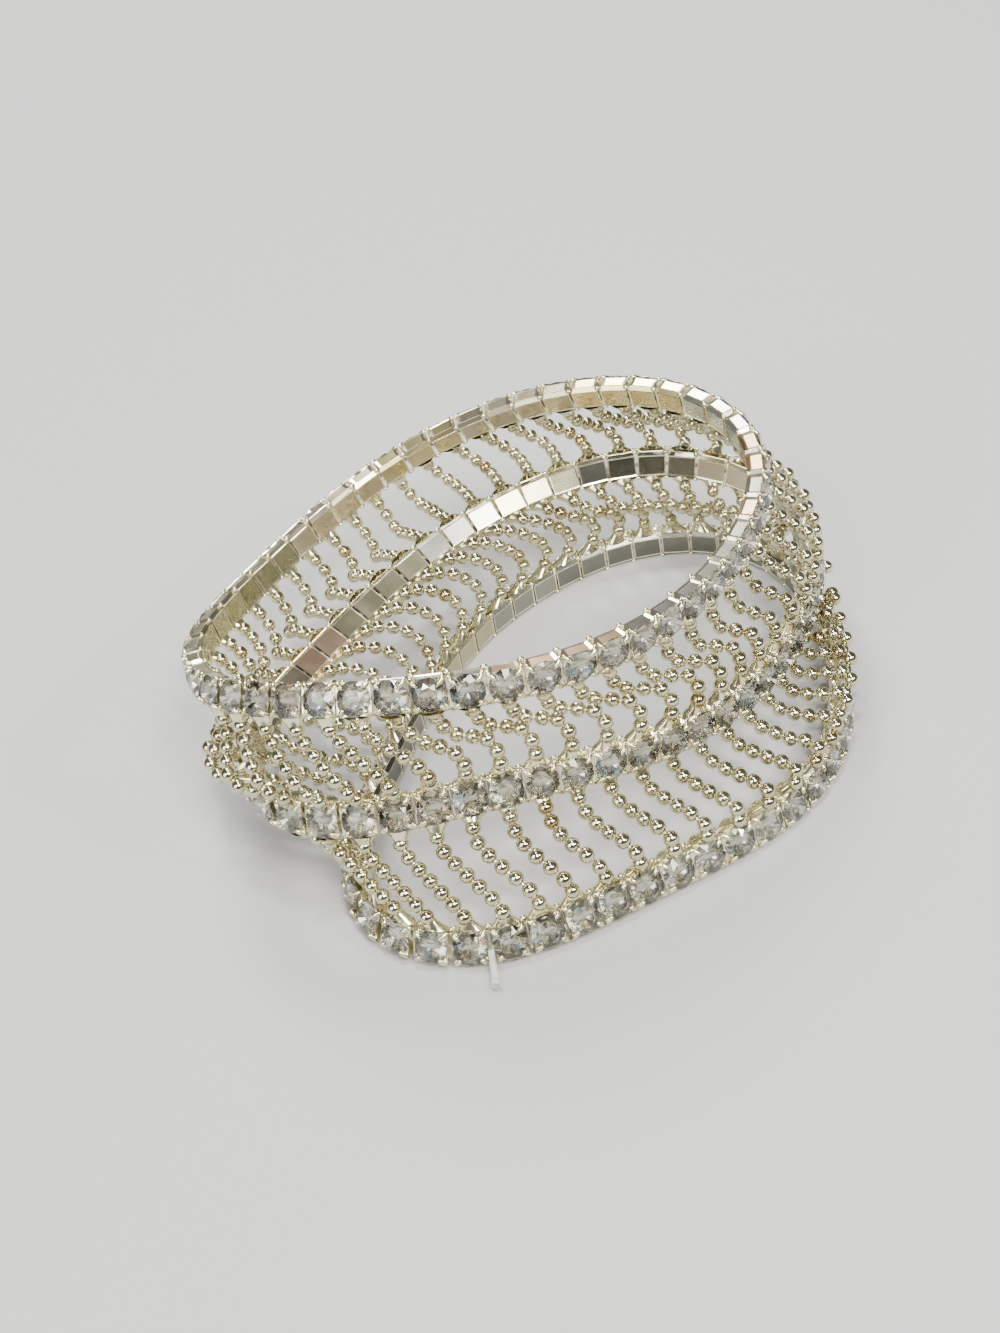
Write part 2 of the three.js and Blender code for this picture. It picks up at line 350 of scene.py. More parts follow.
@dataclass
class ColumnReader:
    """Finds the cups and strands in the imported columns."""

    cup_width: float = 3.2 * MM
    cup_height: float = 3.4 * MM
    cup_depth: float = 1.9 * MM
    stone_rise: float = 0.6 * MM
    tube_reach: float = 1.3 * MM

    def read(self, node: bpy.types.Object) -> Column:
        """Reads one column.

        Args:
            node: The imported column.

        Returns:
            Its cups from the top down, and a route from each cup to the one below.
        """
        shape = bmesh.new()
        shape.from_mesh(node.data)
        bmesh.ops.remove_doubles(shape, verts=shape.verts[:], dist=NEAR)
        bmesh.ops.dissolve_limit(
            shape, angle_limit=math.radians(1.0), verts=shape.verts[:], edges=shape.edges[:])
        cups = self._cups(shape)
        stations = self._stations(shape, cups)
        shape.free()
        routes = []
        for upper, lower in zip(cups, cups[1:]):
            start, end = upper.wall(-self.cup_height / 2), lower.wall(self.cup_height / 2)
            routes.append(self._route(start, end, upper.up, lower.up, stations))
        return Column(cups, routes)

    def _cups(self, shape: bmesh.types.BMesh) -> list[CupPlace]:
        """Finds the three flat backs, the largest faces, and from each the cup before it."""
        backs = sorted(shape.faces, key=lambda face: -face.calc_area())[:len(Ring)]
        places = [self._place(face) for face in backs]
        return sorted(places, key=lambda place: -place.centre.z)

    def _place(self, back: bmesh.types.BMFace) -> CupPlace:
        """Turns the back of a cup into the cup's place.

        Args:
            back: The flat back, which a strand may have notched between its four corners.

        Returns:
            The cup's place.
        """
        rough = back.calc_center_median()
        far = sorted(back.verts, key=lambda vertex: -(vertex.co - rough).length)[:4]
        corners = [vertex.co.copy() for vertex in far]
        sides = sorted(
            (corner - corners[0] for corner in corners[1:]), key=lambda side: side.length)
        if abs(sides[1].length - self.cup_height) > NEAR:
            raise ValueError("a column's largest faces are not the backs of its cups")
        up = sides[1].normalized()
        if up.z < 0:
            up.negate()
        out = -back.normal
        middle = sum(corners, Vector()) / len(corners)
        return CupPlace(middle + out * self.cup_depth / 2, out.cross(up), out, up)

    def _stations(self, shape: bmesh.types.BMesh, cups: list[CupPlace]) -> list[Vector]:
        """Finds the middles of the rings of points that make the strands' tubes."""
        loose = [
            vertex.co.copy() for vertex in shape.verts
            if not any(self._inside(vertex.co, cup) for cup in cups)
        ]
        stations = []
        while loose:
            first = loose[0]
            ring = [point for point in loose if (point - first).length < self.tube_reach]
            loose = [point for point in loose if point not in ring]
            stations.append(sum(ring, Vector()) / len(ring))
        return stations

    def _inside(self, point: Vector, cup: CupPlace) -> bool:
        """True if a point is in or on a cup with its stone."""
        off = point - cup.centre
        slack = NEAR * 3
        return (
            abs(off.dot(cup.along)) < self.cup_width / 2 + slack
            and abs(off.dot(cup.up)) < self.cup_height / 2 + slack
            and -self.cup_depth / 2 - slack < off.dot(cup.out)
            and off.dot(cup.out) < self.cup_depth / 2 + self.stone_rise + slack
        )

    def _route(
        self, start: Vector, end: Vector, up_start: Vector, up_end: Vector, stations: list[Vector]
    ) -> list[Vector]:
        """Chains the stations between two cup walls, and rounds the corners."""
        knots = [start]
        left = list(stations)
        span = (end - start).length
        while left:
            nearest = min(left, key=lambda point: (point - knots[-1]).length)
            if (end - knots[-1]).length < (nearest - knots[-1]).length:
                break
            if (nearest - knots[-1]).length > span:
                break
            knots.append(nearest)
            left.remove(nearest)
        knots.append(end)
        reach = (knots[1] - start).length
        return smooth_route([start + up_start * reach, *knots, end - up_end * reach])


def smooth_route(knots: list[Vector], steps: int = 8) -> list[Vector]:
    """Rounds a route through points, leaving out the first and the last stretch.

    Args:
        knots: The points, with one extra before the start and one after the end.
        steps: How many steps each stretch is cut into.

    Returns:
        Points along the smooth route.
    """
    route = []
    for before, start, end, after in zip(knots, knots[1:], knots[2:], knots[3:]):
        for step in range(steps):
            t = step / steps
            pull = (end - before) * 0.5
            push = (after - start) * 0.5
            route.append(
                start * (2 * t**3 - 3 * t**2 + 1) + pull * (t**3 - 2 * t**2 + t)
                + end * (3 * t**2 - 2 * t**3) + push * (t**3 - t**2))
    route.append(knots[-2])
    return route


def at_distances(route: list[Vector], distances: list[float]) -> list[tuple[Vector, Vector]]:
    """Finds places along a route.

    Args:
        route: Points along the route.
        distances: How far along the route each place is, in rising order.

    Returns:
        The point and the direction of the route at each distance.
    """
    found = []
    gone = 0.0
    stretches = iter(zip(route, route[1:]))
    start, end = next(stretches)
    for distance in distances:
        while distance > gone + (end - start).length:
            gone += (end - start).length
            start, end = next(stretches)
        heading = (end - start).normalized()
        found.append((start + heading * (distance - gone), heading))
    return found


def route_length(route: list[Vector]) -> float:
    """The length of a route, in metres."""
    return sum((end - start).length for start, end in zip(route, route[1:]))


# --- Joined pieces ------------------------------------------------------------------------


def as_mesh(shape: bmesh.types.BMesh, name: str) -> bpy.types.Mesh:
    """Turns a shape into a mesh, and frees the shape."""
    mesh = bpy.data.meshes.new(name)
    shape.to_mesh(mesh)
    shape.free()
    return mesh


@dataclass
class Stamper:
    """Joins many placed copies of small shapes into one mesh, with a colour for each face: a tone,
    or a painted flash of light or dark.
    """

    name: str
    shape: bmesh.types.BMesh = field(default_factory=bmesh.new)
    tones: list[float] = field(default_factory=list)

    def stamp(
        self, pattern: bpy.types.Mesh, place: Matrix, tones: list[Triple]
    ) -> None:
        """Adds one copy.

        Args:
            pattern: The mesh to copy.
            place: Where the copy goes.
            tones: The copy's colours, dealt out to its faces in turn.
        """
        before = len(self.shape.verts)
        self.shape.from_mesh(pattern)
        self.shape.verts.ensure_lookup_table()
        bmesh.ops.transform(self.shape, matrix=place, verts=self.shape.verts[before:])
        for index in range(len(pattern.polygons)):
            self.tones.extend((*tones[index % len(tones)], 1.0))

    def piece(
        self, materials: list[bpy.types.Material], slot: str | None
    ) -> bpy.types.Object:
        """Makes the joined object.

        Args:
            materials: The finishes, in the order of the patterns' slots.
            slot: Not used; it would be the material slot, or None for a finish of the piece's own.

        Returns:
            The finished piece, riding on the bracelet.
        """
        mesh = as_mesh(self.shape, self.name)
        # Each face's colour: a tone for cups and balls, or a painted flash of light or dark on a
        # stone's facet.
        tone = mesh.attributes.new("tone", "FLOAT_COLOR", "FACE")
        tone.data.foreach_set("color", self.tones)
        return finished_piece(self.name, mesh, materials)


def finished_piece(
    name: str, mesh: bpy.types.Mesh, materials: list[bpy.types.Material]
) -> bpy.types.Object:
    """Links a mesh as a piece of the bracelet.

    Args:
        name: The piece's name.
        mesh: Its mesh, in place.
        materials: Its finishes.

    Returns:
        The piece.
    """
    for material in materials:
        mesh.materials.append(material)
    piece = bpy.data.objects.new(name, mesh)
    bpy.context.scene.collection.objects.link(piece)
    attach(piece, "root")
    log.info("%s: %d faces", name, len(mesh.polygons))
    return piece


# --- Cups and stones ----------------------------------------------------------------------


class Tone(Enum):
    """Tones that the plating has taken on, as shares of the plating's own colour."""

    PLAIN = (1.0, 1.0, 1.0)
    SILVER = (0.8, 0.8, 0.71)
    OLIVE = (0.5, 0.475, 0.31)
    CHAMPAGNE = (0.64, 0.56, 0.4)
    GOLD = (0.82, 0.69, 0.36)
    COPPER = (1.0, 0.68, 0.46)
    BRONZE = (0.62, 0.42, 0.27)
    GREY = (0.34, 0.345, 0.29)
    STEEL = (0.22, 0.22, 0.19)
    BROWN = (0.86, 0.75, 0.64)


class Flash(Enum):
    """Painted reflections for a stone's facets: flashes of light, dark and colour, painted into the
    foil's colour.
    """

    WHITE = (1.0, 0.99, 0.94)
    CLEAR = (0.86, 0.84, 0.76)
    GREY = (0.6, 0.585, 0.52)
    DARK = (0.27, 0.26, 0.22)
    BLUE = (0.56, 0.74, 0.92)
    ROSE = (0.84, 0.68, 0.56)


# How often each painted flash comes up.
FLASH_SHARES: dict[Flash, int] = {
    Flash.WHITE: 10, Flash.CLEAR: 7, Flash.GREY: 4, Flash.DARK: 2, Flash.BLUE: 1, Flash.ROSE: 1,
}

# The tones around each ring, each from the column where it starts.
TONE_STARTS: dict[Ring, list[tuple[int, Tone]]] = {
    Ring.TOP: [
        (1, Tone.OLIVE), (7, Tone.CHAMPAGNE), (11, Tone.GOLD), (14, Tone.CHAMPAGNE),
        (18, Tone.GOLD), (22, Tone.SILVER), (25, Tone.BRONZE), (27, Tone.STEEL),
        (28, Tone.BRONZE), (29, Tone.STEEL), (35, Tone.BRONZE), (39, Tone.SILVER),
        (46, Tone.OLIVE),
    ],
    Ring.MIDDLE: [
        (1, Tone.CHAMPAGNE), (4, Tone.COPPER), (6, Tone.OLIVE), (10, Tone.SILVER),
        (13, Tone.OLIVE), (16, Tone.STEEL), (20, Tone.CHAMPAGNE), (23, Tone.SILVER),
        (36, Tone.CHAMPAGNE),
    ],
    Ring.BOTTOM: [
        (1, Tone.STEEL), (5, Tone.OLIVE), (10, Tone.GREY), (13, Tone.STEEL), (24, Tone.SILVER),
        (38, Tone.CHAMPAGNE),
    ],
}


# How light or dark a cup can be beside its neighbours.
SHADES = (0.86, 1.05)


def tone_of(ring: Ring, column: int, dice: random.Random) -> Triple:
    """The tone of one cup, a little lighter or darker than its neighbours.

    Args:
        ring: The cup's ring.
        column: The cup's column, from 1.
        dice: The source of chance.

    Returns:
        Red, green and blue.
    """
    tone = [tone for start, tone in TONE_STARTS[ring] if start <= column][-1]
    shade = dice.uniform(*SHADES)
    return tuple(min(part * shade, 1.0) for part in tone.value)


def painted_facet_flashes(dice: random.Random, count: int) -> list[Triple]:
    """Deals a painted flash of light or dark to each facet of a stone."""
    drawn = dice.choices(list(FLASH_SHARES), list(FLASH_SHARES.values()), k=count)
    return [flash.value for flash in drawn]


class CupSlot(IntEnum):
    """Places of the finishes in a cup's list of materials."""

    CLAW = 0
    LIP = 1
    PLATE = 2


class StoneSlot(IntEnum):
    """Places of the finishes in a stone's list of materials."""

    GLASS = 0
    FOIL = 1


class StrandSlot(IntEnum):
    """Places of the finishes in a strand's list of materials."""

    BALL = 0
    LINK = 1
    NECK = 2


# How far a face's normal goes along an axis, where the face looks that way.
FACES_STRAIGHT, FACES_MOSTLY, FACES_PARTLY = 0.99, 0.9, 0.3


@dataclass
class CupPattern:
    """A square cup, wider in front: rimmed plates, a seat, four claws and beads of solder.

    The rims are round the top and bottom plates, the flat of the back, and its two slopes.
    """

    front_width: float = 3.66 * MM
    back_width: float = 3.4 * MM
    height: float = 3.4 * MM
    depth: float = 1.9 * MM
    back_slope: float = 0.46 * MM
    corner_cut: float = 0.3 * MM
    rim: float = 0.14 * MM
    rim_step: float = 0.07 * MM
    flat_step: float = 0.042 * MM
    slope_rim: float = 0.056 * MM
    slope_step: float = 0.021 * MM
    lip_share: float = 0.14
    wall: float = 0.06 * MM
    seat_radius: float = 1.83 * MM
    seat_taper: float = 1.05 * MM
    seat_depth: float = 1.45 * MM
    claw_width: float = 0.58 * MM
    claw_length: float = 1.7 * MM
    claw_place: Triple = (1.42 * MM, 1.1 * MM, 1.42 * MM)
    claw_lean: float = 0.9
    bead_width: float = 0.58 * MM
    bead_length: float = 0.82 * MM
    bead_place: Triple = (1.76 * MM, -0.78 * MM, 1.6 * MM)

    def build(self) -> bpy.types.Mesh:
        """Makes the cup at the origin."""
        shape = bmesh.new()
        size = Matrix.Diagonal((self.back_width, self.depth, self.height, 1.0))
        bmesh.ops.create_cube(shape, size=1.0, matrix=size)
        bmesh.ops.scale(
            shape, vec=(self.front_width / self.back_width, 1.0, 1.0),
            verts=[vertex for vertex in shape.verts if vertex.co.y > 0])
        self._cut_edges(shape)
        self._seat(shape)
        self._rims(shape)
        across, out, up = self.claw_place
        for side in (-1, 1):
            for end in (-1, 1):
                self._drop(
                    shape, Vector((side * across, out, end * up)),
                    Vector((-side, self.claw_lean, -end)), self.claw_width, self.claw_length)
        across, out, up = self.bead_place
        for end in (-1, 1):
            self._drop(
                shape, Vector((across, out, end * up)), Vector((1.0, 0.0, 0.0)),
                self.bead_width, self.bead_length)
        bmesh.ops.recalc_face_normals(shape, faces=shape.faces[:])
        return as_mesh(shape, "cup")

    def _cut_edges(self, shape: bmesh.types.BMesh) -> None:
        """Slopes the back's long edges, and cuts the corners that run from back to front."""
        back = -self.depth / 2

        def lies_back(edge: bmesh.types.BMEdge) -> bool:
            """True for the back's edges along the ring."""
            ends = edge.verts
            level = abs(ends[0].co.z - ends[1].co.z) < NEAR
            return level and all(abs(end.co.y - back) < NEAR for end in ends)

        def runs_out(edge: bmesh.types.BMEdge) -> bool:
            """True for the corner edges that run outward."""
            return abs(edge.verts[0].co.y - edge.verts[1].co.y) > self.depth / 2

        for chosen, offset in ((lies_back, self.back_slope), (runs_out, self.corner_cut)):
            bmesh.ops.bevel(
                shape, geom=[edge for edge in shape.edges if chosen(edge)], offset=offset,
                segments=1, affect="EDGES", profile=0.5, material=-1)

    def _seat(self, shape: bmesh.types.BMesh) -> None:
        """Sinks an eight-sided seat into the front, with sloping walls."""
        front = max(shape.faces, key=lambda face: face.calc_center_median().y)
        bmesh.ops.inset_individual(shape, faces=[front], thickness=self.wall)
        near, far = math.cos(math.pi / 8), math.sin(math.pi / 8)
        for vertex in front.verts:
            wide = abs(vertex.co.x) > abs(vertex.co.z)
            vertex.co.x = math.copysign(near if wide else far, vertex.co.x) * self.seat_radius
            vertex.co.z = math.copysign(far if wide else near, vertex.co.z) * self.seat_radius
        bmesh.ops.inset_individual(
            shape, faces=[front], thickness=self.seat_taper, depth=-self.seat_depth)

    def _rims(self, shape: bmesh.types.BMesh) -> None:
        """Leaves a raised rim round the top, the bottom and the back's faces."""
        shape.normal_update()
        for face in shape.faces:
            face.material_index = CupSlot.LIP
        small = self.depth * self.back_width * 0.4
        plates = [
            face for face in shape.faces
            if abs(face.normal.z) > FACES_STRAIGHT and face.calc_area() > small
        ]
        backs = [
            face for face in shape.faces
            if face.normal.y < -FACES_PARTLY and face.calc_center_median().y < -self.depth * 0.2
        ]
        flats = [face for face in backs if face.normal.y < -FACES_MOSTLY]
        slopes = [face for face in backs if face.normal.y >= -FACES_MOSTLY]
        for faces, width, step in (
            (plates, self.rim, self.rim_step),
            (flats, self.rim, self.flat_step),
            (slopes, self.slope_rim, self.slope_step),
        ):
            bmesh.ops.inset_individual(
                shape, faces=faces, thickness=width, depth=-step, use_even_offset=True)
            for face in faces:
                face.material_index = CupSlot.PLATE
        for face in plates:
            bmesh.ops.scale(shape, vec=(1.0 - self.lip_share, 1.0, 1.0), verts=face.verts)

    def _drop(
        self, shape: bmesh.types.BMesh, place: Vector, lean: Vector, width: float, length: float
    ) -> None:
        """Adds a drop of metal, such as a claw, kept above the cup's underside.

        Args:
            shape: The cup that gets the drop.
            place: The drop's middle.
            lean: The way that it lies.
            width: How thick it is.
            length: How long it is.
        """
        turn = lean.to_track_quat("Y", "Z").to_matrix().to_4x4()
        size = Matrix.Diagonal((width, length, width, 1.0))
        drop = bmesh.ops.create_uvsphere(
            shape, u_segments=6, v_segments=4, radius=0.5,
            matrix=Matrix.Translation(place) @ turn @ size)["verts"]
        for vertex in drop:
            vertex.co.z = max(vertex.co.z, -self.height / 2)
        for face in {face for vertex in drop for face in vertex.link_faces}:
            face.smooth = True
            face.material_index = CupSlot.CLAW


@dataclass
class StonePattern:
    """A round brilliant: a crown of clear facets over a foiled point."""

    girdle: float = 1.81 * MM
    table: float = 0.95 * MM
    star: float = 1.38 * MM
    seat: float = 0.97 * MM
    girdle_height: float = 0.08 * MM
    star_height: float = 0.38 * MM
    crown_height: float = 0.6 * MM
    point: float = 0.06 * MM
    point_depth: float = 1.2 * MM

    def build(self) -> bpy.types.Mesh:
        """Makes the stone in its cup, with the cup's middle at the origin."""
        shape = bmesh.new()
        half_step = math.pi / 8
        for radius, out, sides, turn in (
            (self.table, self.crown_height, 8, 0.0),
            (self.star, self.star_height, 8, half_step),
            (self.girdle, self.girdle_height, 16, 0.0),
            (self.girdle, 0.0, 16, 0.0),
            (self.point, -self.point_depth, 4, 0.0),
        ):
            place = Matrix.Translation((0, self.seat + out, 0))
            place @= Matrix.Rotation(-math.pi / 2, 4, "X") @ Matrix.Rotation(turn, 4, "Z")
            bmesh.ops.create_circle(
                shape, cap_ends=False, radius=radius, segments=sides, matrix=place)
        bmesh.ops.convex_hull(shape, input=shape.verts[:], use_existing_faces=False)
        bmesh.ops.delete(
            shape, geom=[edge for edge in shape.edges if not edge.link_faces], context="EDGES")
        bmesh.ops.dissolve_limit(
            shape, angle_limit=0.01, verts=shape.verts[:], edges=shape.edges[:])
        bmesh.ops.recalc_face_normals(shape, faces=shape.faces[:])
        for face in shape.faces:
            behind = face.calc_center_median().y < self.seat - NEAR
            face.material_index = StoneSlot.FOIL if behind else StoneSlot.GLASS
        return as_mesh(shape, "stone")


@dataclass
class CupRing:
    """One ring of fifty cups with their stones."""

    ring: Ring
    columns: list[Column]
    book: FinishBook
    seed: int = 5
    stone_tip: float = 0.05

    def build(self) -> list[bpy.types.Object]:
        """Makes the ring's cups and stones.

        Returns:
            The joined cups and the joined stones.
        """
        dice = random.Random(self.seed + self.ring.value)
        cup, stone = CupPattern().build(), StonePattern().build()
        word = self.ring.name.lower()
        cups, stones = Stamper(f"cups_{word}"), Stamper(f"stones_{word}")
        for number, column in enumerate(self.columns, 1):
            place = column.cups[self.ring.value].matrix()
            cups.stamp(cup, place, [tone_of(self.ring, number, dice)])
            spin = Matrix.Rotation(dice.uniform(0.0, math.tau / 8), 4, "Y")
            tip = Matrix.Rotation(dice.uniform(-self.stone_tip, self.stone_tip), 4, "X")
            # Each facet of the stone gets a painted flash of light or dark, laid on its foil.
            stones.stamp(stone, place @ tip @ spin, painted_facet_flashes(dice, len(stone.polygons)))
        book = self.book
        pieces = [
            cups.piece([book.cup, book.lip, book.plate], "metal"),
            stones.piece([book.glass, book.foil], None),
        ]
        for pattern in (cup, stone):
            bpy.data.meshes.remove(pattern)
        return pieces


# --- Strands ------------------------------------------------------------------------------


@dataclass
class StrandSet:
    """All the strands between two neighbouring rings, each with seven balls on a wire."""

    name: str
    row: int
    columns: list[Column]
    book: FinishBook
    ball_count: int = 7
    ball_radius: float = 0.85 * MM
    wire_radius: float = 0.22 * MM
    end_gap: float = 1.41 * MM
    neck_foot: tuple[float, float] = (1.55 * MM, 0.9 * MM)
    neck_waist: tuple[float, float] = (0.98 * MM, 0.7 * MM)
    neck_tip: float = 0.62 * MM
    neck_levels: Triple = (-0.03, 0.42, 0.95)
    brown_share: float = 0.05
    ball_spread: tuple[float, float] = (0.97, 1.03)
    seed: int = 31

    def build(self) -> bpy.types.Object:
        """Makes the joined strands."""
        ball, link, neck = self._ball(), self._link(), self._neck()
        strands = Stamper(self.name)
        plain = [Tone.PLAIN.value]
        half = CupPattern().height / 2
        dice = random.Random(self.seed + self.row)
        for column in self.columns:
            route = column.routes[self.row]
            upper, lower = column.cups[self.row], column.cups[self.row + 1]
            free = route_length(route) - 2 * self.end_gap
            step = free / (self.ball_count - 1)
            places = at_distances(route, [self.end_gap + step * n for n in range(self.ball_count)])
            for point, heading in places:
                turn = heading.to_track_quat("Z", "X").to_matrix().to_4x4()
                size = Matrix.Scale(dice.uniform(*self.ball_spread), 4)
                tone = Tone.BROWN if dice.random() < self.brown_share else Tone.PLAIN
                strands.stamp(ball, Matrix.Translation(point) @ turn @ size, [tone.value])
            for (start, _), (end, _) in zip(places, places[1:]):
                strands.stamp(link, self._stretched(start, end), plain)
            strands.stamp(neck, self._tent(upper, upper.wall(-half), places[0][0]), plain)
            strands.stamp(neck, self._tent(lower, lower.wall(half), places[-1][0]), plain)
        piece = strands.piece([self.book.ball, self.book.lip, self.book.cup], "metal")
        for pattern in (ball, link, neck):
            bpy.data.meshes.remove(pattern)
        return piece

    def _stretched(self, start: Vector, end: Vector) -> Matrix:
        """The matrix that puts a unit-long pattern along Z between two points."""
        way = end - start
        turn = way.to_track_quat("Z", "X").to_matrix().to_4x4()
        return Matrix.Translation(start) @ turn @ Matrix.Diagonal((1.0, 1.0, way.length, 1.0))

    def _tent(self, cup: CupPlace, foot: Vector, tip: Vector) -> Matrix:
        """The matrix that leans a unit-high neck from a cup's wall to its ball."""
        way = tip - foot
        out = way.normalized().cross(cup.along).normalized()
        turn = Matrix((cup.along, out, way)).transposed().to_4x4()
        return Matrix.Translation(foot) @ turn

    def _ball(self) -> bpy.types.Mesh:
        """Makes a ball."""
        shape = bmesh.new()
        bmesh.ops.create_icosphere(shape, subdivisions=2, radius=self.ball_radius)
        for face in shape.faces:
            face.smooth = True
            face.material_index = StrandSlot.BALL
        return as_mesh(shape, "ball")

    def _link(self) -> bpy.types.Mesh:
        """Makes a unit-long stretch of wire, with open ends that lie inside the balls."""
        shape = bmesh.new()
        bmesh.ops.create_cone(
            shape, cap_ends=False, segments=6, radius1=self.wire_radius,
            radius2=self.wire_radius, depth=1.0, matrix=Matrix.Translation((0, 0, 0.5)))
        for face in shape.faces:
            face.smooth = True
            face.material_index = StrandSlot.LINK
        return as_mesh(shape, "link")

    def _neck(self) -> bpy.types.Mesh:
        """Makes a unit-high neck that narrows from the cup to the ball."""
        shape = bmesh.new()
        loops = []
        sizes = (self.neck_foot, self.neck_waist, (self.neck_tip, self.neck_tip))
        for (across, out), height in zip(sizes, self.neck_levels):
            place = Matrix.Translation((0, 0, height)) @ Matrix.Diagonal((across, out, 1.0, 1.0))
            ring = bmesh.ops.create_circle(
                shape, cap_ends=False, radius=1.0, segments=12, matrix=place)["verts"]
            loops.append(list({edge for vertex in ring for edge in vertex.link_edges}))
        for lower, upper in zip(loops, loops[1:]):
            bmesh.ops.bridge_loops(shape, edges=lower + upper)
        for face in shape.faces:
            face.smooth = True
            face.material_index = StrandSlot.NECK
        bmesh.ops.recalc_face_normals(shape, faces=shape.faces[:])
        return as_mesh(shape, "neck")


# --- Elastic ------------------------------------------------------------------------------


def sweep(
    shape: bmesh.types.BMesh, route: list[Vector], radii: list[float], sides: int, closed: bool
) -> None:
    """Adds a tube along a route.

    Args:
        shape: The shape that gets the tube.
        route: The points of the tube's middle line.
        radii: The radius at each point.
        sides: How many sides the tube has.
        closed: Whether the end joins the start.
    """
    loops = []
    count = len(route)
    for index, (point, radius) in enumerate(zip(route, radii)):
        before = route[index - 1] if closed or index else point
        after = route[(index + 1) % count] if closed or index + 1 < count else point
        turn = (after - before).to_track_quat("Z", "Y").to_matrix().to_4x4()
        ring = bmesh.ops.create_circle(
            shape, cap_ends=not closed and index in (0, count - 1), radius=radius,
            segments=sides, matrix=Matrix.Translation(point) @ turn)["verts"]
        loops.append([
            edge for edge in {edge for vertex in ring for edge in vertex.link_edges}
            if all(end in ring for end in edge.verts)
        ])
    pairs = list(zip(loops, loops[1:]))
    if closed:
        pairs.append((loops[-1], loops[0]))
    for first, second in pairs:
        bmesh.ops.bridge_loops(shape, edges=first + second)


@dataclass
class ElasticRing:
    """The thread that a ring of cups is strung on."""

    ring: Ring
    columns: list[Column]
    book: FinishBook
    radius: float = 0.27 * MM
    sides: int = 8
    cup_reach: float = 1.45 * MM

    def build(self) -> bpy.types.Object:
        """Makes the closed thread."""
        cups = [column.cups[self.ring.value] for column in self.columns]
        reach = self.cup_reach
        if (cups[1].centre - cups[0].centre).dot(cups[0].along) < 0:
            reach = -reach
        route = []
        for cup in cups:
            route += [cup.centre - cup.along * reach, cup.centre + cup.along * reach]
        shape = bmesh.new()
        sweep(shape, route, [self.radius] * len(route), self.sides, closed=True)
        bmesh.ops.recalc_face_normals(shape, faces=shape.faces[:])
        for face in shape.faces:
            face.smooth = True
        mesh = as_mesh(shape, f"thread_{self.ring.name.lower()}")
        return finished_piece(mesh.name, mesh, [self.book.thread])


@dataclass
class FrayedTail:
    """The thread's cut end, which comes out between two cups and is frayed.

    Its route is in millimetres: how far out of the ring it is, and how high above the floor.
    """

    columns: list[Column]
    book: FinishBook
    after_column: int = 42
    radius: float = 0.42 * MM
    narrow_share: float = 0.75
    sides: int = 10
    route: tuple[tuple[float, float], ...] = (
        (1.35, 2.35), (1.75, 1.9), (2.15, 1.3), (2.6, 0.75), (3.2, 0.45), (4.1, 0.43))
    seed: int = 8
    hair_count: int = 90
    hair_radius: float = 0.045 * MM
    hair_length: tuple[float, float] = (0.35 * MM, 1.1 * MM)
    hair_root: float = 0.3 * MM
    hair_sideways: float = 0.7
    hair_upward: tuple[float, float] = (-0.3, 0.4)

    def build(self) -> bpy.types.Object:
        """Makes the tail with its hairs."""
        first, second = (
            self.columns[number - 1].cups[Ring.BOTTOM.value]
            for number in (self.after_column, self.after_column + 1))
        middle = (first.centre + second.centre) / 2
        out = first.out + second.out
        out.z = 0.0
        out.normalize()
        points = [
            Vector((middle.x, middle.y, height * MM)) + out * away * MM
            for away, height in self.route
        ]
        start, end = points[0] * 2 - points[1], points[-1] * 2 - points[-2]
        route = smooth_route([start, *points, end], 4)
        thin, count = self.narrow_share, len(route)
        radii = [self.radius * (thin + (1.0 - thin) * step / count) for step in range(count)]
        shape = bmesh.new()
        sweep(shape, route, radii, self.sides, closed=False)
        self._hairs(shape, points[-1], out)
        bmesh.ops.recalc_face_normals(shape, faces=shape.faces[:])
        for face in shape.faces:
            face.smooth = True
        mesh = as_mesh(shape, "frayed_tail")
        return finished_piece(mesh.name, mesh, [self.book.thread])

    def _hairs(self, shape: bmesh.types.BMesh, tip: Vector, out: Vector) -> None:
        """Fans fine hairs out of the tail's end."""
        dice = random.Random(self.seed)
        side = Vector((0, 0, 1)).cross(out)
        thick = self.hair_radius
        for _ in range(self.hair_count):
            turn = dice.uniform(0.0, math.tau)
            reach = self.radius * 0.7 * math.sqrt(dice.random())
            start = tip - out * self.hair_root + side * math.cos(turn) * reach
            start.z += math.sin(turn) * reach
            spread = side * dice.uniform(-self.hair_sideways, self.hair_sideways)
            spread.z += dice.uniform(*self.hair_upward)
            length = dice.uniform(*self.hair_length)
            middle = start + (out + spread * 0.4) * length * 0.5
            end = start + (out + spread) * length
            for point in (middle, end):
                point.z = max(point.z, thick * 2)
            sweep(shape, [start, middle, end], [thick, thick, thick * 0.4], 4, closed=False)


# --- Studio -------------------------------------------------------------------------------


@dataclass(frozen=True)
class Lamp:
    """A soft square light that faces the bracelet, in metres and watts."""

    name: str
    place: Triple
    size: float
    power: float
    colour: Triple

    def build(self) -> None:
        """Hangs the light."""
        lamp = bpy.data.lights.new(self.name, "AREA")
        lamp.size = self.size
        lamp.energy = self.power
        lamp.color = self.colour
        light = bpy.data.objects.new(self.name, lamp)
        light.location = self.place
        light.rotation_euler = (-Vector(self.place)).to_track_quat("-Z", "Y").to_euler()
        bpy.context.scene.collection.objects.link(light)


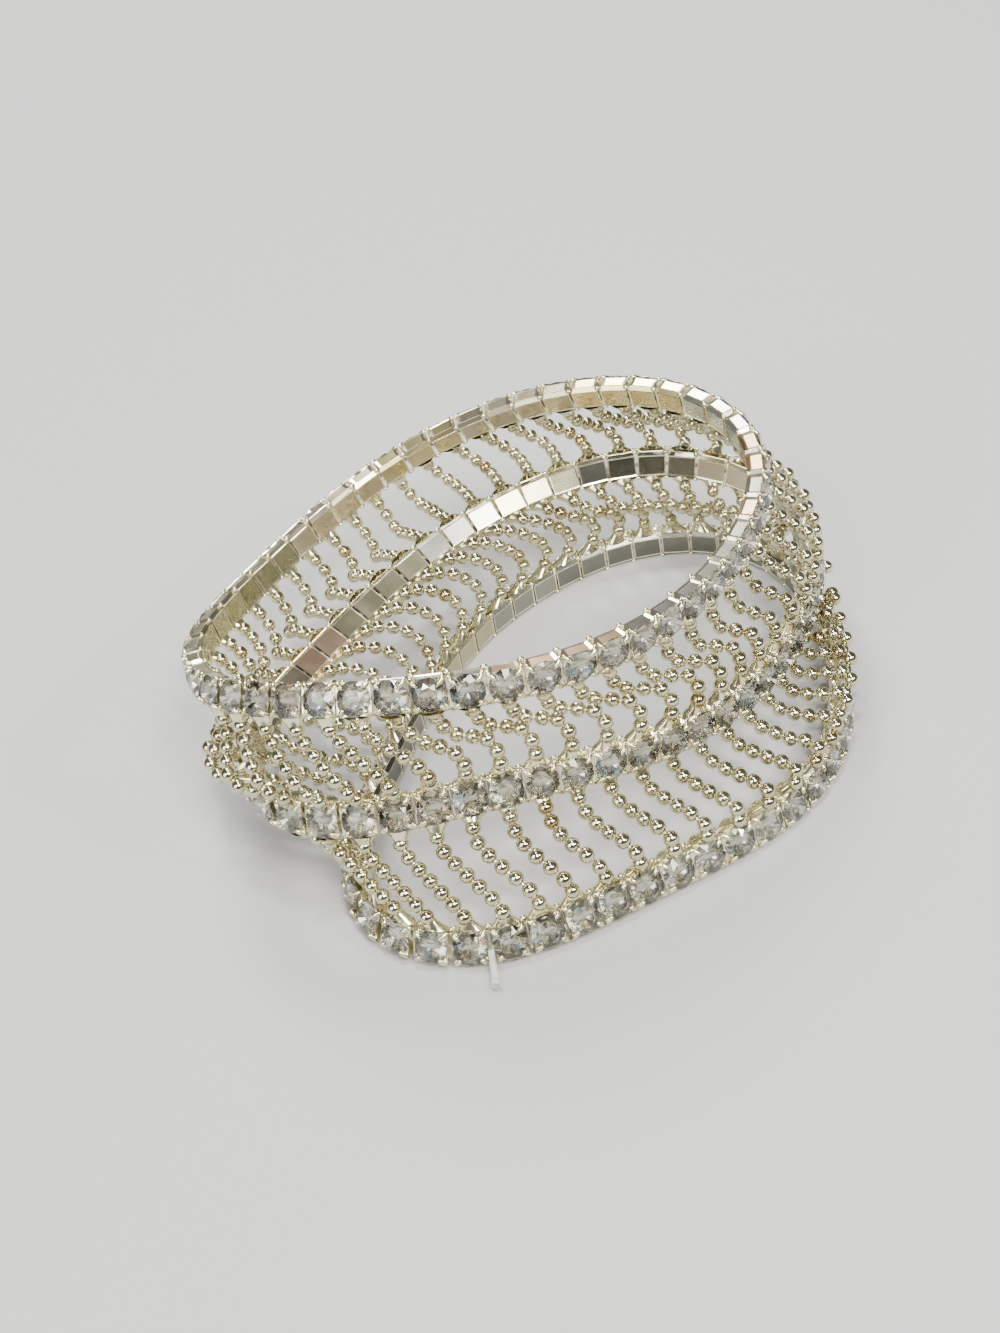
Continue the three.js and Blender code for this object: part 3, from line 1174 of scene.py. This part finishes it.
LAMPS = (
    Lamp("key_light", (-0.25, -0.55, 0.75), 0.35, 14.0, (1.0, 0.97, 0.92)),
    Lamp("fill_light", (-0.75, 0.15, 0.45), 0.5, 5.0, (0.93, 0.97, 1.0)),
    Lamp("back_light", (0.45, 0.5, 0.6), 0.25, 9.0, (1.0, 0.98, 0.95)),
    Lamp("top_light", (0.05, 0.0, 0.9), 0.12, 4.0, (1.0, 1.0, 1.0)),
    Lamp("left_glint", (-0.5, -0.05, 0.6), 0.06, 1.6, (1.0, 0.98, 0.94)),
    Lamp("right_glint", (0.1, -0.6, 0.4), 0.06, 1.6, (0.9, 0.96, 1.0)),
)


@dataclass
class Studio:
    """The floor, the lights and the camera."""

    eye: Vector = field(default_factory=lambda: Vector((-116.15, -98.35, 127.7)) * MM)
    look: Vector = field(default_factory=lambda: Vector((0.5856, 0.5211, -0.6209)))
    upward: Vector = field(default_factory=lambda: Vector((0.5879, 0.2544, 0.7679)))
    lens: float = 46.5
    floor_size: float = 2.4
    ambient: Triple = (0.62, 0.63, 0.63)
    ambient_strength: float = 0.26

    def build(self) -> None:
        """Makes everything around the bracelet."""
        self.camera()
        self.floor()
        self.world()
        for lamp in LAMPS:
            lamp.build()

    def camera(self) -> None:
        """Sets the camera."""
        lens = bpy.data.cameras.new("camera")
        lens.sensor_width = 36.0
        lens.sensor_fit = "AUTO"
        lens.lens = self.lens
        lens.clip_start = 0.01
        right = self.look.cross(self.upward).normalized()
        up = right.cross(self.look).normalized()
        turn = Matrix((right, up, -self.look.normalized())).transposed().to_4x4()
        camera = bpy.data.objects.new("camera", lens)
        camera.matrix_world = Matrix.Translation(self.eye) @ turn
        bpy.context.scene.collection.objects.link(camera)
        bpy.context.scene.camera = camera

    def floor(self) -> None:
        """Lays the floor."""
        shape = bmesh.new()
        bmesh.ops.create_grid(shape, x_segments=1, y_segments=1, size=self.floor_size / 2)
        mesh = as_mesh(shape, "floor")
        mesh.materials.append(PalePaper().build())
        floor = bpy.data.objects.new("floor", mesh)
        bpy.context.scene.collection.objects.link(floor)

    def world(self) -> None:
        """Sets the light that comes from all round."""
        world = bpy.data.worlds.new("studio_air")
        world.use_nodes = True
        shade = world.node_tree.nodes["Background"]
        shade.inputs["Color"].default_value = (*self.ambient, 1.0)
        shade.inputs["Strength"].default_value = self.ambient_strength
        bpy.context.scene.world = world


def main() -> None:
    """Builds the scene."""
    logging.basicConfig(level=logging.INFO, format="%(name)s: %(message)s")
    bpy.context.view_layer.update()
    Studio().build()
    reader = ColumnReader()
    names = sorted(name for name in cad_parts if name.startswith("column_"))
    columns = [reader.read(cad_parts[name]) for name in names]
    log.info("%d columns read", len(columns))
    book = FinishBook()
    made: list[bpy.types.Object] = []
    for ring in Ring:
        made += CupRing(ring, columns, book).build()
    made.append(StrandSet("strands_upper", 0, columns, book).build())
    made.append(StrandSet("strands_lower", 1, columns, book).build())
    for ring in Ring:
        thread = ElasticRing(ring, columns, book).build()
        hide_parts(f"elastic_{ring.name.lower()}")
        made.append(thread)
    tail = FrayedTail(columns, book).build()
    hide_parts("elastic_tail")
    made.append(tail)
    for piece in made:
        if piece.name.startswith("cups_"):
            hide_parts(*names)


if __name__ == "__main__":
    main()
